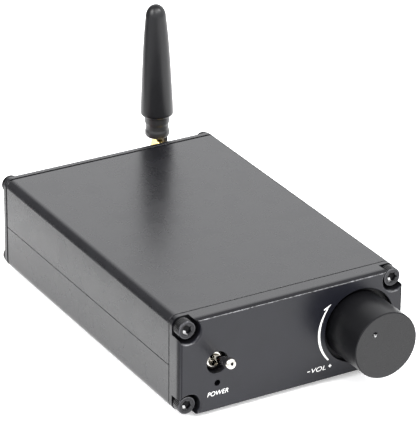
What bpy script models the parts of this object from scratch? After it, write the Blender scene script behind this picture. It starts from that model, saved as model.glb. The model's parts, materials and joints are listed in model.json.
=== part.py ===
"""Desktop bluetooth audio receiver with a volume knob, a power toggle and a hinged antenna.

Two identical extruded half shells close around the circuit board. A thick front panel and a thin
rear panel are screwed to their ends. Row frame: metres, +Z up, the front faces -Y, the origin is
under the middle of the bounding box, on the surface that the feet stand on.
"""
import math

import bmesh
import bpy
from mathutils import Vector

MM = 0.001

# Case
CASE_WIDTH = 87 * MM
CASE_HEIGHT = 35 * MM
CASE_LENGTH = 120 * MM
CORNER_RADIUS = 3 * MM
WALL = 2 * MM
SEAM_HEIGHT = 16.6 * MM          # left seam above the underside; the right one is turned half round
LAP_HEIGHT = 2 * MM
TONGUE = 0.8 * MM
GAP = 0.3 * MM                   # clearance between pieces that touch
FRONT_PANEL = 8 * MM
NOTCH_DEPTH = 5.9 * MM
REAR_PANEL = 2 * MM
EDGE_BREAK = 0.4 * MM

# Fasteners
SCREW_INSET = 3.4 * MM
SCREW_HEAD_RADIUS = 3.3 * MM
SCREW_HEAD_HEIGHT = 4 * MM       # in the front notches
REAR_HEAD_HEIGHT = 2.2 * MM      # low heads on the rear panel
SCREW_RADIUS = 1.75 * MM
SCREW_LENGTH = 14 * MM
SCREW_KEY = 3 * MM               # across the flats of the hexagon socket
NOTCH_RADIUS = 4.4 * MM
BOSS_RADIUS = 3.3 * MM

# Front controls: x from the middle, z from the underside
KNOB_X, KNOB_Z = 26.4 * MM, 17.4 * MM
KNOB_RADIUS = 12.2 * MM
KNOB_FACE = 24.8 * MM            # from the front end of the shells to the knob's face
KNOB_BACK = 6.3 * MM
KNOB_DIMPLE_RADIUS = 6.9 * MM
KNOB_DIMPLE_ANGLE = math.radians(131)
RECESS_RADIUS = 13.7 * MM
RECESS_DEPTH = 2.5 * MM
SHAFT_RADIUS = 2.95 * MM
BUSHING_RADIUS = 3.65 * MM
TOGGLE_X, TOGGLE_Z = -29.3 * MM, 17.6 * MM
TOGGLE_PIVOT = 3 * MM            # in front of the shells
TOGGLE_TILT = math.radians(15)
TOGGLE_HOLE_RADIUS = 4 * MM
LED_Z = 9.9 * MM
LED_HOLE_RADIUS = 1.1 * MM

# Rear connections
POST_XS = [-28 * MM, -14 * MM, 0, 14 * MM]
POST_Z = 16 * MM
POST_REACH = 20 * MM             # from the rear panel to the end of a closed cap
POST_CAP_RADIUS = 4.9 * MM
DC_X, DC_Z = 34.6 * MM, 17 * MM
AUX_X, AUX_Z = 26.4 * MM, 14.5 * MM

# Antenna
ANTENNA_X, ANTENNA_Z = 26.6 * MM, 27.5 * MM
ANTENNA_Y = 134 * MM             # hinge pin, behind the front end of the shells
ANTENNA_TOP = 85.1 * MM

# Board and feet
BOARD_BOTTOM, BOARD_TOP = 9.1 * MM, 10.7 * MM
PART_BASE = BOARD_TOP + GAP
FOOT_HEIGHT = 2 * MM

OVERALL_LENGTH = KNOB_FACE + CASE_LENGTH + REAR_PANEL + POST_REACH
CASE_FRONT = KNOB_FACE - OVERALL_LENGTH / 2

# Turning a local +Z axis to the front, to the rear or to the right
UP = (0, 0, 0)
FRONT = (math.pi / 2, 0, 0)
REAR = (-math.pi / 2, 0, 0)
RIGHT = (0, math.pi / 2, 0)

FINISHES = {
    # name: (colour, roughness, metallic)
    "black_anodised": ((0.055, 0.057, 0.062), 0.45, 0.5),
    "black_steel": ((0.09, 0.09, 0.095), 0.3, 1.0),
    "nickel": ((0.78, 0.76, 0.72), 0.18, 1.0),
    "gold_plate": ((0.83, 0.62, 0.28), 0.25, 1.0),
    "black_rubber": ((0.035, 0.036, 0.04), 0.6, 0.0),
    "black_plastic": ((0.03, 0.03, 0.032), 0.4, 0.0),
    "red_plastic": ((0.45, 0.02, 0.02), 0.35, 0.0),
    "board_laminate": ((0.02, 0.11, 0.05), 0.45, 0.0),
    "led_lens": ((0.12, 0.16, 0.3), 0.1, 0.0),
    "bare_aluminium": ((0.7, 0.7, 0.72), 0.35, 1.0),
}


def collection(name):
    new = bpy.data.collections.new(name)
    bpy.context.scene.collection.children.link(new)
    return new


def case_point(x, y, z):
    """A place given from the case's middle, the shells' front end and the case's underside."""
    return Vector((x, y + CASE_FRONT, z + FOOT_HEIGHT))


def mm(*points):
    """Points written in millimetres, in metres."""
    return [tuple(value * MM for value in point) for point in points]


# ---------------------------------------------------------------- shapes

def arc(centre, radius, start, end, steps):
    """Points on an arc, angles in degrees, both ends included."""
    angles = [math.radians(start + (end - start) * i / steps) for i in range(steps + 1)]
    return [(centre[0] + radius * math.cos(a), centre[1] + radius * math.sin(a)) for a in angles]


def circle(centre, radius, steps):
    return arc(centre, radius, 0, 360, steps)[:-1]


def rounded_rectangle(width, height, radius, steps):
    """Outline centred on the origin."""
    points = []
    for sx, sy, start in ((1, 1, 0), (-1, 1, 90), (-1, -1, 180), (1, -1, 270)):
        centre = (sx * (width / 2 - radius), sy * (height / 2 - radius))
        points += arc(centre, radius, start, start + 90, steps)
    return points


def add_object(name, mesh, location=(0, 0, 0), rotation=UP, finish=None):
    """A part with its own material, or a cutter where no finish is given."""
    obj = bpy.data.objects.new(name, mesh)
    obj.location = location
    obj.rotation_euler = rotation
    if finish is None:
        CUTTERS.objects.link(obj)
        obj.hide_render = True
        obj.display_type = "WIRE"
        return obj
    PARTS.objects.link(obj)
    colour, roughness, metallic = FINISHES[finish]
    material = bpy.data.materials.new(f"{name}_{finish}")
    material.use_nodes = True
    shader = material.node_tree.nodes["Principled BSDF"]
    shader.inputs["Base Color"].default_value = (*colour, 1)
    shader.inputs["Roughness"].default_value = roughness
    shader.inputs["Metallic"].default_value = metallic
    mesh.materials.clear()
    mesh.materials.append(material)
    return obj


def mesh_from(bm, name):
    mesh = bpy.data.meshes.new(name)
    bm.to_mesh(mesh)
    bm.free()
    return mesh


def box(name, size, location, finish=None, bevel=0.0, segments=1):
    bm = bmesh.new()
    bmesh.ops.create_cube(bm, size=1)
    bmesh.ops.scale(bm, vec=size, verts=bm.verts)
    obj = add_object(name, mesh_from(bm, name), location, UP, finish)
    if bevel:
        modifier = obj.modifiers.new("edges", "BEVEL")
        modifier.width = bevel
        modifier.segments = segments
    return obj


def prism(name, sides, radius, depth, location, rotation, finish=None):
    """A prism or cylinder that stands on its location and runs along its local +Z."""
    bm = bmesh.new()
    bmesh.ops.create_cone(bm, cap_ends=True, segments=sides, radius1=radius, radius2=radius, depth=depth)
    bmesh.ops.translate(bm, vec=(0, 0, depth / 2), verts=bm.verts)
    return add_object(name, mesh_from(bm, name), location, rotation, finish)


def turned(name, profile, location, rotation, finish=None, segments=24, closed=False):
    """Turn a profile of (radius, height) pairs, listed from the top down its outer side."""
    mesh = bpy.data.meshes.new(name)
    edges = [(i, i + 1) for i in range(len(profile) - 1)]
    if closed:
        edges.append((len(profile) - 1, 0))
    mesh.from_pydata([(r, 0, h) for r, h in profile], edges, [])
    obj = add_object(name, mesh, location, rotation, finish)
    modifier = obj.modifiers.new("turn", "SCREW")
    modifier.steps = segments
    modifier.render_steps = segments
    modifier.use_merge_vertices = True
    modifier.merge_threshold = 0.00001
    return obj


def evaluated_mesh(obj):
    bpy.context.view_layer.update()
    depsgraph = bpy.context.evaluated_depsgraph_get()
    return bpy.data.meshes.new_from_object(obj.evaluated_get(depsgraph))


def solid_from_curve(curve, location, rotation, finish):
    """Make a curve a closed mesh, with its caps welded."""
    guide = bpy.data.objects.new(curve.name + "_guide", curve)
    guide.location = location
    guide.rotation_euler = rotation
    CUTTERS.objects.link(guide)
    mesh = evaluated_mesh(guide)
    bm = bmesh.new()
    bm.from_mesh(mesh)
    bmesh.ops.remove_doubles(bm, verts=bm.verts, dist=0.000001)
    bmesh.ops.recalc_face_normals(bm, faces=bm.faces)
    bm.to_mesh(mesh)
    bm.free()
    obj = add_object(curve.name, mesh, finish=finish)
    obj.matrix_world = guide.matrix_world
    bpy.data.objects.remove(guide)
    return obj


def extruded(name, outlines, thickness, location, rotation, finish=None):
    """Extrude a flat outline and its holes, centred on its local Z."""
    curve = bpy.data.curves.new(name, "CURVE")
    curve.dimensions = "2D"
    curve.fill_mode = "BOTH"
    curve.extrude = thickness / 2
    for outline in outlines:
        spline = curve.splines.new("POLY")
        spline.points.add(len(outline) - 1)
        for point, (x, y) in zip(spline.points, outline):
            point.co = (x, y, 0, 1)
        spline.use_cyclic_u = True
    return solid_from_curve(curve, location, rotation, finish)


def loft(name, sections, location, rotation, finish=None):
    """Join (height, outline) sections, each with as many points as the others, up local +Z."""
    bm = bmesh.new()
    rings = [[bm.verts.new((x, y, height)) for x, y in outline] for height, outline in sections]
    for lower, upper in zip(rings, rings[1:]):
        for i in range(len(lower)):
            bm.faces.new((lower[i - 1], lower[i], upper[i], upper[i - 1]))
    bm.faces.new(reversed(rings[0]))
    bm.faces.new(rings[-1])
    return add_object(name, mesh_from(bm, name), location, rotation, finish)


def wire(name, points, radius, finish):
    """A round wire along the points."""
    curve = bpy.data.curves.new(name, "CURVE")
    curve.dimensions = "3D"
    curve.bevel_depth = radius
    curve.bevel_resolution = 2
    curve.use_fill_caps = True
    spline = curve.splines.new("POLY")
    spline.points.add(len(points) - 1)
    for point, place in zip(spline.points, points):
        point.co = (*place, 1)
    return solid_from_curve(curve, (0, 0, 0), UP, finish)


def combine(obj, other, operation="DIFFERENCE"):
    modifier = obj.modifiers.new(other.name, "BOOLEAN")
    modifier.operation = operation
    modifier.object = other
    return obj


def bake(obj):
    """The evaluated mesh of a pattern piece, which is then removed with its cutters."""
    mesh = evaluated_mesh(obj)
    helpers = [m.object for m in obj.modifiers if m.type == "BOOLEAN"]
    for helper in helpers + [obj]:
        bpy.data.objects.remove(helper)
    return mesh


def copies(mesh, places, rotation, finish):
    """One object for each (name, place), all on one mesh."""
    for name, place in places:
        add_object(name, mesh.copy(), place, rotation, finish)


# ---------------------------------------------------------------- case

def shell_outline():
    """Lower half shell's section, seen from the front, with z from the case's underside."""
    half = CASE_WIDTH / 2
    inner = half - WALL
    left_top = SEAM_HEIGHT - GAP / 2
    right_top = CASE_HEIGHT - SEAM_HEIGHT - GAP / 2
    tongue_top = SEAM_HEIGHT + LAP_HEIGHT
    groove_floor = CASE_HEIGHT - tongue_top - GAP
    boss_x = half - SCREW_INSET
    reach = math.sqrt(BOSS_RADIUS ** 2 - (SCREW_INSET - WALL) ** 2)
    boss_angle = math.degrees(math.asin(reach / BOSS_RADIUS))
    rail = inner - 1.7 * MM
    rails = [BOARD_TOP + 1.5 * MM, BOARD_TOP + GAP, BOARD_BOTTOM - GAP, BOARD_BOTTOM - 1.5 * MM]

    points = [(-half, left_top)]
    points += arc((CORNER_RADIUS - half, CORNER_RADIUS), CORNER_RADIUS, 180, 270, 6)
    points += arc((half - CORNER_RADIUS, CORNER_RADIUS), CORNER_RADIUS, 270, 360, 6)
    points += [(half, right_top), (inner + TONGUE + GAP, right_top)]
    points += [(inner + TONGUE + GAP, groove_floor), (inner, groove_floor)]
    points += [(inner, rails[0]), (rail, rails[0]), (rail, rails[1]), (inner, rails[1])]
    points += [(inner, rails[2]), (rail, rails[2]), (rail, rails[3]), (inner, rails[3])]
    points += arc((boss_x, SCREW_INSET), BOSS_RADIUS, boss_angle, 270 - boss_angle, 7)
    points += arc((-boss_x, SCREW_INSET), BOSS_RADIUS, boss_angle - 90, 180 - boss_angle, 7)
    points += [(-inner, rails[3]), (-rail, rails[3]), (-rail, rails[2]), (-inner, rails[2])]
    points += [(-inner, rails[1]), (-rail, rails[1]), (-rail, rails[0]), (-inner, rails[0])]
    points += [(-inner, tongue_top), (-inner - TONGUE, tongue_top), (-inner - TONGUE, left_top)]
    return points


def make_shells():
    """The same extrusion twice, the upper one turned half round."""
    boss_x = CASE_WIDTH / 2 - SCREW_INSET
    hole = SCREW_RADIUS + GAP
    lower = [shell_outline()] + [circle((side * boss_x, SCREW_INSET), hole, 16) for side in (-1, 1)]
    upper = [[(-x, CASE_HEIGHT - z) for x, z in outline] for outline in lower]
    middle = case_point(0, CASE_LENGTH / 2, 0)
    extruded("lower_shell", lower, CASE_LENGTH - GAP, middle, FRONT, "black_anodised")
    extruded("upper_shell", upper, CASE_LENGTH - GAP, middle, FRONT, "black_anodised")


def screw_places(y):
    """Name endings and places of the four corner screws."""
    x = CASE_WIDTH / 2 - SCREW_INSET
    heights = (("bottom", SCREW_INSET), ("top", CASE_HEIGHT - SCREW_INSET))
    sides = (("left", -x), ("right", x))
    return [(f"{level}_{side}", case_point(sx, y, z)) for level, z in heights for side, sx in sides]


def make_front_panel():
    """Thick plate lofted from its front face, whose edges are broken, to its back."""
    sections = []
    for depth, inset in ((0, EDGE_BREAK), (EDGE_BREAK, 0), (FRONT_PANEL - GAP / 2, 0)):
        width, height = CASE_WIDTH - 2 * inset, CASE_HEIGHT - 2 * inset
        sections.append((depth, rounded_rectangle(width, height, CORNER_RADIUS - inset, 5)))
    front = case_point(0, -FRONT_PANEL, CASE_HEIGHT / 2)
    panel = loft("front_panel", sections, front, REAR, "black_anodised")

    through = FRONT_PANEL + 4 * MM
    for name, notch_floor in screw_places(NOTCH_DEPTH - FRONT_PANEL):
        back = notch_floor + Vector((0, FRONT_PANEL, 0))
        combine(panel, prism(f"notch_{name}", 32, NOTCH_RADIUS, through, notch_floor, FRONT))
        combine(panel, prism(f"front_hole_{name}", 16, SCREW_RADIUS + GAP, 2 * through, back, FRONT))

    recess_floor = case_point(KNOB_X, RECESS_DEPTH - FRONT_PANEL, KNOB_Z)
    combine(panel, prism("knob_recess", 64, RECESS_RADIUS, through, recess_floor, FRONT))
    holes = (
        ("bushing_hole", KNOB_X, KNOB_Z, BUSHING_RADIUS + GAP),
        ("toggle_hole", TOGGLE_X, TOGGLE_Z, TOGGLE_HOLE_RADIUS),
        ("led_hole", TOGGLE_X, LED_Z, LED_HOLE_RADIUS),
    )
    for name, x, z, radius in holes:
        combine(panel, prism(name, 24, radius, through, case_point(x, 2 * MM, z), FRONT))
    pocket = case_point(TOGGLE_X, 2 * MM, LED_Z)
    combine(panel, prism("led_pocket", 24, 2.2 * MM, 7.6 * MM, pocket, FRONT))


def make_rear_panel():
    outline = rounded_rectangle(CASE_WIDTH, CASE_HEIGHT, CORNER_RADIUS, 6)
    x = CASE_WIDTH / 2 - SCREW_INSET
    z = CASE_HEIGHT / 2 - SCREW_INSET
    middle = CASE_HEIGHT / 2
    holes = [circle((sx * x, sz * z), SCREW_RADIUS + GAP, 16) for sx in (-1, 1) for sz in (-1, 1)]
    holes += [circle((post_x, POST_Z - middle), 2.6 * MM, 16) for post_x in POST_XS]
    holes.append(circle((DC_X, DC_Z - middle), 4.3 * MM, 24))
    holes.append(circle((AUX_X, AUX_Z - middle), 3.1 * MM, 20))
    holes.append(circle((ANTENNA_X, ANTENNA_Z - middle), 3.5 * MM, 20))
    thickness = REAR_PANEL - GAP / 2
    place = case_point(0, CASE_LENGTH + GAP / 2 + thickness / 2, middle)
    extruded("rear_panel", [outline] + holes, thickness, place, FRONT, "black_anodised")


def screw_mesh(height, edge, socket_depth):
    """Socket head screw; local zero is the head's underside."""
    head, tip = SCREW_HEAD_RADIUS, 0.6 * MM
    profile = [(0, height), (head - edge, height), (head, height - edge), (head, 0), (SCREW_RADIUS, 0),
               (SCREW_RADIUS, tip - SCREW_LENGTH), (SCREW_RADIUS - tip, -SCREW_LENGTH), (0, -SCREW_LENGTH)]
    pattern = turned("screw_pattern", profile, (0, 0, 0), UP, "black_steel", 20)
    corner = SCREW_KEY / math.sqrt(3)
    combine(pattern, prism("screw_socket", 6, corner, height, (0, 0, height - socket_depth), UP))
    return bake(pattern)


def make_screws():
    tall = screw_mesh(SCREW_HEAD_HEIGHT, 0.35 * MM, 2 * MM)
    low = screw_mesh(REAR_HEAD_HEIGHT, 0.6 * MM, 1.4 * MM)
    kinds = (
        ("front_screw", tall, FRONT, NOTCH_DEPTH - FRONT_PANEL - GAP),
        ("rear_screw", low, REAR, CASE_LENGTH + REAR_PANEL + GAP),
    )
    for kind, mesh, rotation, y in kinds:
        places = [(f"{kind}_{name}", place) for name, place in screw_places(y)]
        copies(mesh, places, rotation, "black_steel")


def make_feet():
    profile = mm((0, 1.7), (4.75, 1.7), (4.75, 1.0), (4.3, 0), (0, 0))
    for level, y in (("front", 14 * MM), ("rear", CASE_LENGTH - 14 * MM)):
        for side, x in (("left", -34 * MM), ("right", 34 * MM)):
            place = case_point(x, y, -FOOT_HEIGHT)
            turned(f"foot_{level}_{side}", profile, place, UP, "black_rubber", 24)


# ---------------------------------------------------------------- volume control

def make_knob():
    length = KNOB_FACE - KNOB_BACK
    rim, bore, cavity = 0.5 * MM, SHAFT_RADIUS + GAP, 7.2 * MM
    profile = [(0, length), (KNOB_RADIUS - rim, length), (KNOB_RADIUS, length - rim), (KNOB_RADIUS, rim / 2),
               (KNOB_RADIUS - rim / 2, 0), (cavity, 0), (cavity, 3.4 * MM), (bore, 3.4 * MM),
               (bore, 14 * MM), (0, 14 * MM)]
    place = case_point(KNOB_X, -KNOB_BACK, KNOB_Z)
    knob = turned("volume_knob", profile, place, FRONT, "black_anodised", 64)

    dimple_x = KNOB_X + KNOB_DIMPLE_RADIUS * math.cos(KNOB_DIMPLE_ANGLE)
    dimple_z = KNOB_Z + KNOB_DIMPLE_RADIUS * math.sin(KNOB_DIMPLE_ANGLE)
    point = case_point(dimple_x, -KNOB_FACE, dimple_z)
    drill = turned("dimple_drill", mm((0, 2), (1, 2), (1, -0.4), (0, -1.0)), point, FRONT, None, 16)
    combine(knob, drill)

    screw_y = -KNOB_BACK - 8 * MM
    below = (math.pi, 0, 0)
    hole_start = case_point(KNOB_X, screw_y, KNOB_Z - 2 * MM)
    combine(knob, prism("set_screw_hole", 16, 1.75 * MM, 14 * MM, hole_start, below))
    key = 1.5 * MM / math.sqrt(3)
    screw = prism("knob_set_screw", 16, 1.45 * MM, 6 * MM,
                  case_point(KNOB_X, screw_y, KNOB_Z - 3.3 * MM), below, "black_steel")
    socket = case_point(KNOB_X, screw_y, KNOB_Z - 7.8 * MM)
    combine(screw, prism("set_screw_socket", 6, key, 4 * MM, socket, below))


def make_potentiometer():
    """Board-mounted potentiometer; its threaded bushing passes through the front panel."""
    inside = 1.8 * MM
    body_size = (9.8 * MM, 8 * MM, 11.2 * MM)
    body_place = case_point(KNOB_X, 4.3 * MM, PART_BASE + body_size[2] / 2)
    body = box("pot_body", body_size, body_place, "bare_aluminium", 0.4 * MM)
    bushing_end = 8.2 * MM
    start = case_point(KNOB_X, 1 * MM, KNOB_Z)
    bushing = prism("pot_bushing", 24, BUSHING_RADIUS, 1 * MM + bushing_end, start, FRONT)
    combine(body, bushing, "UNION")
    bore_start = case_point(KNOB_X, inside + GAP, KNOB_Z)
    combine(body, prism("pot_bore", 24, SHAFT_RADIUS + 0.2 * MM, 14 * MM, bore_start, FRONT))

    shaft_length = KNOB_BACK + 13.5 * MM + inside
    shaft_place = case_point(KNOB_X, inside, KNOB_Z)
    chamfer = 0.5 * MM
    profile = [(0, shaft_length), (SHAFT_RADIUS - chamfer, shaft_length),
               (SHAFT_RADIUS, shaft_length - chamfer), (SHAFT_RADIUS, 0), (0, 0)]
    turned("pot_shaft", profile, shaft_place, FRONT, "bare_aluminium", 24)

    nut_back = case_point(KNOB_X, RECESS_DEPTH - FRONT_PANEL - GAP, KNOB_Z)
    nut = prism("pot_nut", 6, 5.8 * MM, 1.8 * MM, nut_back, FRONT, "nickel")
    hole_back = nut_back + Vector((0, 2 * MM, 0))
    combine(nut, prism("pot_nut_hole", 24, BUSHING_RADIUS + GAP, 6 * MM, hole_back, FRONT))


# ---------------------------------------------------------------- power switch

def make_toggle():
    body_size = (7 * MM, 9 * MM, 11 * MM)
    body_place = case_point(TOGGLE_X, 0.9 * MM + body_size[1] / 2, TOGGLE_Z)
    box("toggle_body", body_size, body_place, "red_plastic", 0.5 * MM)

    tube = mm((2.35, 5.9), (2.65, 6.2), (2.85, 6.2), (3.15, 5.9), (3.15, 0), (2.35, 0))
    tube_back = case_point(TOGGLE_X, 0.4 * MM, TOGGLE_Z)
    turned("toggle_bushing", tube, tube_back, FRONT, "nickel", 24, closed=True)

    shank = mm((0, 15.6), (1.2, 15.4), (1.9, 14.9), (2.2, 14.0), (2.1, 12.4), (0.95, 3.2))
    ball = arc((0, 0), 1.9 * MM, 60, -90, 9)
    pivot = case_point(TOGGLE_X, -TOGGLE_PIVOT, TOGGLE_Z)
    tilted_up = (math.pi / 2 - TOGGLE_TILT, 0, 0)
    turned("toggle_lever", shank + ball, pivot, tilted_up, "nickel", 20)


def make_power_led():
    """A 3 mm lamp behind the panel's small hole; its leads straddle the board's front edge."""
    radius = 1.5 * MM
    dome = arc((0, 3.4 * MM), radius, 90, 0, 5)
    profile = dome + mm((1.5, 0.9), (1.9, 0.9), (1.9, 0), (0, 0))
    led = turned("power_led", profile, case_point(TOGGLE_X, -0.4 * MM, LED_Z), FRONT, "led_lens", 20)
    for name, z in (("upper", PART_BASE + 0.3 * MM), ("lower", BOARD_BOTTOM - 0.6 * MM)):
        lead = box(f"led_lead_{name}", mm((0.5, 6, 0.5))[0], case_point(TOGGLE_X, 2.4 * MM, z))
        combine(led, lead, "UNION")


# ---------------------------------------------------------------- rear connections

def make_posts():
    """Four insulated binding posts, each a stem, a collar, a nut and a cap that unscrews."""
    panel = CASE_LENGTH + REAR_PANEL
    collar_thickness = 2.6 * MM
    stem_end = POST_REACH - 2.3 * MM
    socket = mm((0, 4), (2, 5)) + [(2 * MM, stem_end)]
    stem = socket + [(2.9 * MM, stem_end)] + mm((2.9, 0.6), (1.9, 0.6), (1.9, -14), (0, -14))
    collar = [(3.2 * MM, collar_thickness), (POST_CAP_RADIUS - 0.4 * MM, collar_thickness),
              (POST_CAP_RADIUS, collar_thickness - 0.4 * MM), (POST_CAP_RADIUS, 0), (3.2 * MM, 0)]
    cap_back = collar_thickness + 2 * GAP
    cap_inside = stem_end + GAP
    cap = [(2.4 * MM, POST_REACH), (POST_CAP_RADIUS - 0.8 * MM, POST_REACH),
           (POST_CAP_RADIUS, POST_REACH - 0.8 * MM), (POST_CAP_RADIUS, cap_back), (3.2 * MM, cap_back),
           (3.2 * MM, cap_inside), (2.4 * MM, cap_inside)]
    stem_pattern = turned("stem_pattern", stem, (0, 0, 0), UP, "gold_plate", 20)
    wire_hole = prism("wire_hole", 12, 1.1 * MM, 8 * MM, (-4 * MM, 0, 4.9 * MM), RIGHT)
    stem_mesh = bake(combine(stem_pattern, wire_hole))
    nut_pattern = prism("nut_pattern", 6, 4.2 * MM, 2 * MM, (0, 0, 0), UP, "nickel")
    nut_hole = prism("nut_hole", 12, 2.25 * MM, 6 * MM, (0, 0, -2 * MM), UP)
    nut_mesh = bake(combine(nut_pattern, nut_hole))
    for number, x in enumerate(POST_XS, 1):
        plastic = "red_plastic" if number % 2 else "black_plastic"
        place = case_point(x, panel, POST_Z)
        copies(stem_mesh, [(f"post_stem_{number}", place)], REAR, "gold_plate")
        collar_place = place + Vector((0, GAP, 0))
        turned(f"post_collar_{number}", collar, collar_place, REAR, plastic, 20, closed=True)
        turned(f"post_cap_{number}", cap, place, REAR, plastic, 20, closed=True)
        nut_place = case_point(x, CASE_LENGTH - GAP, POST_Z)
        copies(nut_mesh, [(f"post_nut_{number}", nut_place)], FRONT, "nickel")


def make_jack(name, x, z, body_size, nose_radius, bore_radius, bore_depth, finish):
    """A board-mounted socket whose round nose stands through the rear panel."""
    nose_end = CASE_LENGTH + REAR_PANEL + 0.6 * MM
    body_front = CASE_LENGTH - GAP - body_size[1]
    body_place = case_point(x, body_front + body_size[1] / 2, PART_BASE + body_size[2] / 2)
    jack = box(name, body_size, body_place, finish, 0.4 * MM)
    nose_start = case_point(x, body_front + 2 * MM, z)
    nose_length = nose_end - body_front - 2 * MM
    combine(jack, prism(f"{name}_nose", 24, nose_radius, nose_length, nose_start, REAR), "UNION")
    bore_start = case_point(x, nose_end - bore_depth, z)
    combine(jack, prism(f"{name}_bore", 20, bore_radius, bore_depth + 2 * MM, bore_start, REAR))
    return jack


def make_jacks():
    dc_size = (9 * MM, 13.5 * MM, 10.8 * MM)
    dc = make_jack("dc_jack", DC_X, DC_Z, dc_size, 3.9 * MM, 2.85 * MM, 9 * MM, "black_plastic")
    pin_start = case_point(DC_X, CASE_LENGTH + REAR_PANEL - 9.5 * MM, DC_Z)
    combine(dc, prism("dc_jack_pin", 12, 1.05 * MM, 8 * MM, pin_start, REAR), "UNION")
    aux_size = (6.4 * MM, 12 * MM, 6.2 * MM)
    make_jack("aux_jack", AUX_X, AUX_Z, aux_size, 2.8 * MM, 1.8 * MM, 12 * MM, "black_plastic")


# ---------------------------------------------------------------- antenna

def make_antenna_socket():
    """Coaxial jack, its panel nut and the coupling nut that holds the antenna on it."""
    panel = CASE_LENGTH + REAR_PANEL
    barrel = 3.18 * MM
    jack_start = case_point(ANTENNA_X, CASE_LENGTH - 8 * MM, ANTENNA_Z)
    length = panel + 5.2 * MM - (CASE_LENGTH - 8 * MM)
    profile = [(0, length), (barrel - 0.3 * MM, length), (barrel, length - 0.3 * MM),
               (barrel, 0), (0, 0)]
    jack = turned("sma_jack", profile, jack_start, REAR, "gold_plate", 20)
    base = case_point(ANTENNA_X, CASE_LENGTH - GAP, ANTENNA_Z)
    combine(jack, prism("sma_base", 6, 4.6 * MM, 2.4 * MM, base, FRONT), "UNION")

    across = 8 / math.sqrt(3) * MM
    nut_back = case_point(ANTENNA_X, panel + GAP, ANTENNA_Z)
    nut = prism("sma_panel_nut", 6, across, 2.1 * MM, nut_back, REAR, "gold_plate")
    hole = prism("sma_nut_hole", 20, barrel + GAP, 6 * MM, nut_back - Vector((0, 2 * MM, 0)), REAR)
    combine(nut, hole)

    coupling_back = case_point(ANTENNA_X, panel + 3.1 * MM, ANTENNA_Z)
    coupling = prism("antenna_coupling_nut", 6, across, 4.1 * MM, coupling_back, REAR, "gold_plate")
    inside = turned("coupling_bore", mm((0, 8), (1.9, 8), (1.9, 3.4), (3.5, 3.4), (3.5, -2), (0, -2)),
                    coupling_back, REAR, None, 20)
    combine(coupling, inside)


def make_antenna():
    """Brass knuckle that swivels in the coupling nut, hinge pin and rubber sleeve, upright at rest."""
    hinge = case_point(ANTENNA_X, ANTENNA_Y, ANTENNA_Z)
    profile = mm((0, 0), (1.55, 0), (1.55, -5.8), (3.1, -5.8), (3.1, -6.5), (0, -6.5))
    knuckle = turned("antenna_knuckle", profile, hinge, REAR, "gold_plate", 20)
    tongue_left, tongue_width, trim = -0.9 * MM, 2.1 * MM, 6 * MM
    tongue_start = hinge + Vector((tongue_left, 0, 0))
    tongue = prism("knuckle_tongue", 28, 3.7 * MM, tongue_width, tongue_start, RIGHT)
    combine(knuckle, tongue, "UNION")
    for name, offset in (("left", tongue_left - trim / 2), ("right", tongue_left + tongue_width + trim / 2)):
        size = (trim, 8.2 * MM, 8.2 * MM)
        combine(knuckle, box(f"knuckle_trim_{name}", size, hinge + Vector((offset, 0.8 * MM, 0))))
    pin_hole = prism("knuckle_pin_hole", 16, 1.1 * MM, 10 * MM, hinge + Vector((-5 * MM, 0, 0)), RIGHT)
    combine(knuckle, pin_hole)

    pin_start = hinge + Vector((-1.4 * MM, 0, 0))
    prism("antenna_hinge_pin", 16, 0.8 * MM, 5.4 * MM, pin_start, RIGHT, "gold_plate")

    tip_radius, dome_height, dome_steps = 3.85 * MM, 5 * MM, 6
    dome_base = ANTENNA_TOP - ANTENNA_Z - dome_height
    turns = [math.pi / 2 * (1 - i / dome_steps) for i in range(dome_steps + 1)]
    dome = [(tip_radius * math.cos(a), dome_base + dome_height * math.sin(a)) for a in turns]
    taper = mm((4.6, 45), (5.2, 36), (5.85, 22.4), (6.15, 14.6), (5.9, 13.9))
    waist = mm((4.7, 12.9), (4.65, 10.8), (4.3, 9.9), (4.3, 8.1), (4.6, 7.2), (4.6, 5.3),
               (4.1, 4.4), (0, 4.4))
    sleeve = turned("antenna_sleeve", dome + taper + waist, hinge, UP, "black_rubber", 28)
    ear_left, ear_width = 1.8 * MM, 1.8 * MM
    ear = prism("sleeve_ear", 20, 2.3 * MM, ear_width, hinge + Vector((ear_left, 0, 0)), RIGHT)
    ear_size = (ear_width, 4.6 * MM, 5 * MM)
    ear_web = box("sleeve_ear_web", ear_size, hinge + Vector((ear_left + ear_width / 2, 0, 2.5 * MM)))
    combine(sleeve, ear, "UNION")
    combine(sleeve, ear_web, "UNION")
    ear_hole = prism("sleeve_pin_hole", 16, 1.1 * MM, 8 * MM, hinge + Vector((1 * MM, 0, 0)), RIGHT)
    combine(sleeve, ear_hole)


# ---------------------------------------------------------------- inside

def make_board():
    width = CASE_WIDTH - 2 * WALL - 2 * GAP
    length = CASE_LENGTH - 3 * MM
    size = (width, length, BOARD_TOP - BOARD_BOTTOM)
    middle = case_point(0, CASE_LENGTH / 2, (BOARD_TOP + BOARD_BOTTOM) / 2)
    box("main_board", size, middle, "board_laminate")


def make_heat_sink():
    """Finned extrusion over the amplifier chip."""
    chip_size = mm((14, 8, 1.2))[0]
    chip_y = 60 * MM
    box("amplifier_chip", chip_size, case_point(0, chip_y, PART_BASE + chip_size[2] / 2), "black_plastic")
    base = PART_BASE + chip_size[2] + GAP
    fins, pitch, fin, floor, height = 7, 4 * MM, 1.4 * MM, 2.5 * MM, 13 * MM
    left = -(fins - 1) * pitch / 2
    outline = [(left - fin / 2, 0), (-left + fin / 2, 0)]
    for i in reversed(range(fins)):
        x = left + i * pitch
        outline += [(x + fin / 2, height), (x - fin / 2, height)]
        if i:
            outline += [(x - fin / 2, floor), (x - pitch + fin / 2, floor)]
    extruded("heat_sink", [outline], 30 * MM, case_point(0, chip_y, base), FRONT, "bare_aluminium")


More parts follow.
